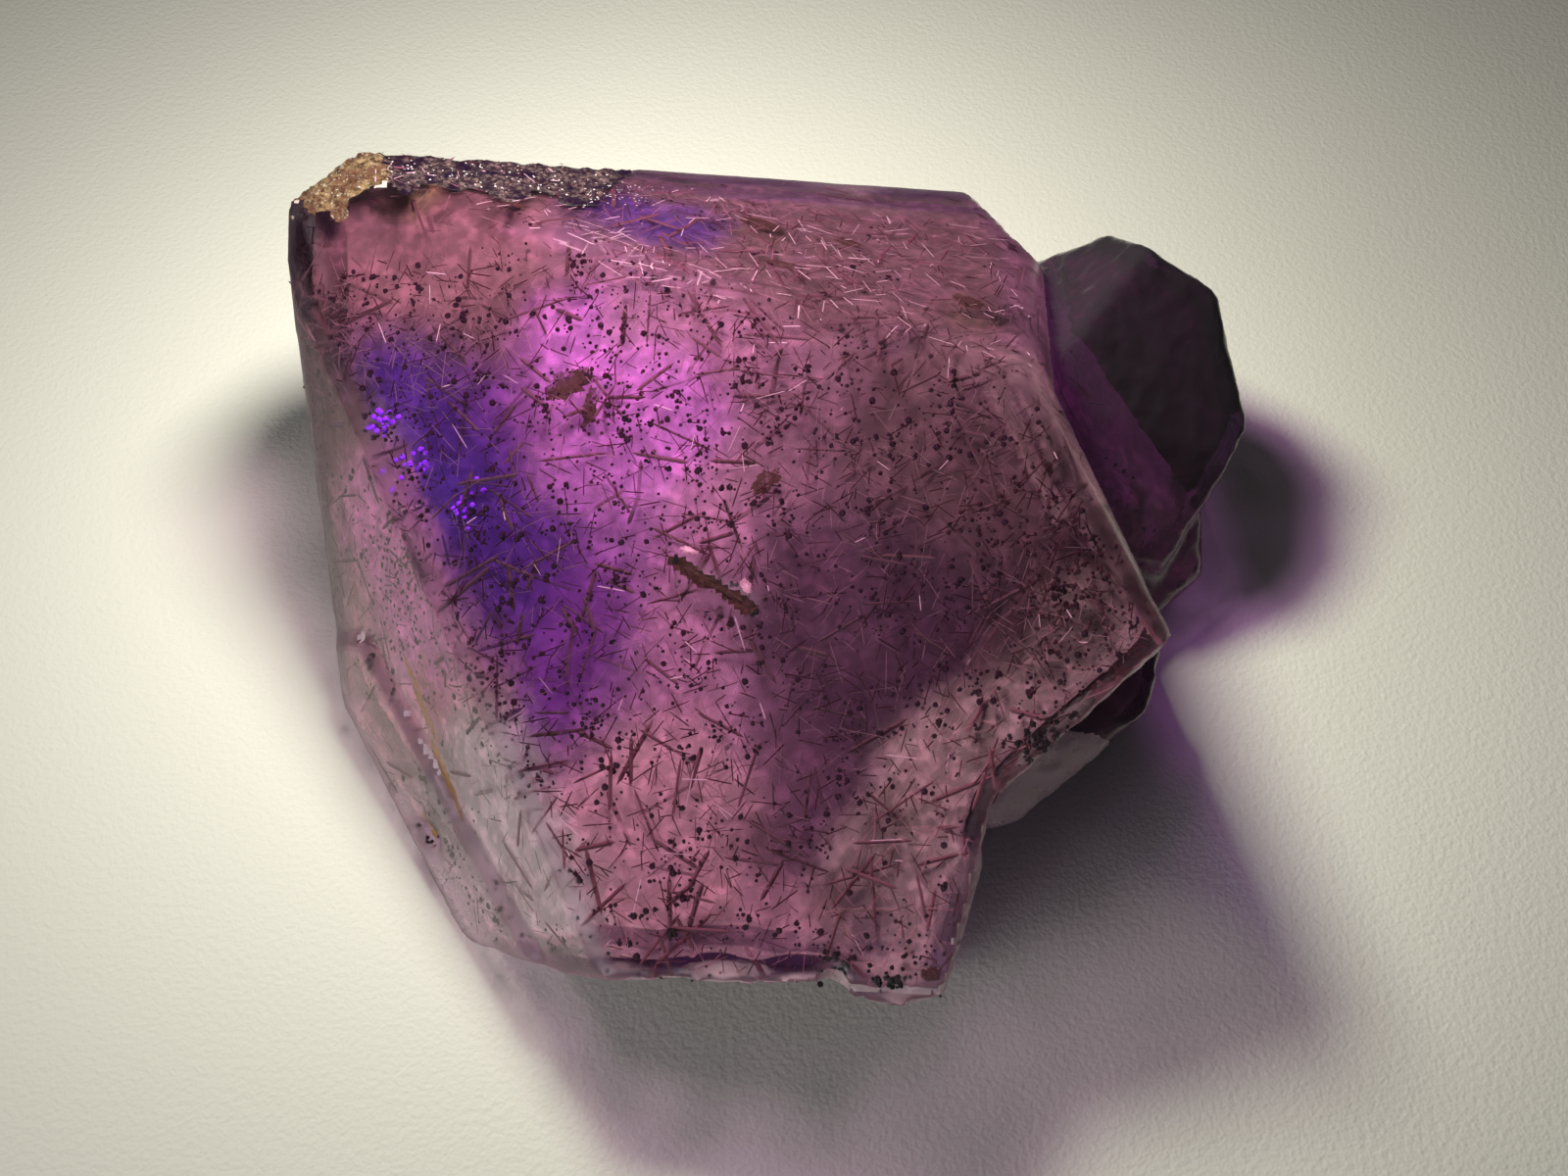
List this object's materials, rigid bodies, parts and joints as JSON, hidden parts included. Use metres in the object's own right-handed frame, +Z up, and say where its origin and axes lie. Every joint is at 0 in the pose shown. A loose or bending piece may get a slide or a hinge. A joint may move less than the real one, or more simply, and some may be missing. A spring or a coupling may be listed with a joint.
{
  "type": "amethyst point",
  "caption": "Broken-off natural amethyst crystal point lying on its side, full of fine needles and specks, with a small companion crystal and a pale chunk grown to it.",
  "frame": {"origin": "on the surface that the crystal lies on, under the middle of its box", "axes": "+Z up; +Y away from the viewer of the picture, +X to the viewer's right, with the crystal's tip towards -X and +Y"},
  "size_m": [0.044, 0.0424, 0.0178],
  "materials": {
    "amethyst": "natural crystal faces, glossy with fine growth lines, cloudy purple quartz full of red-brown needles; broken sides satin"
  },
  "bodies": {
    "root": {"amethyst_point": "amethyst"}
  },
  "joints": []
}
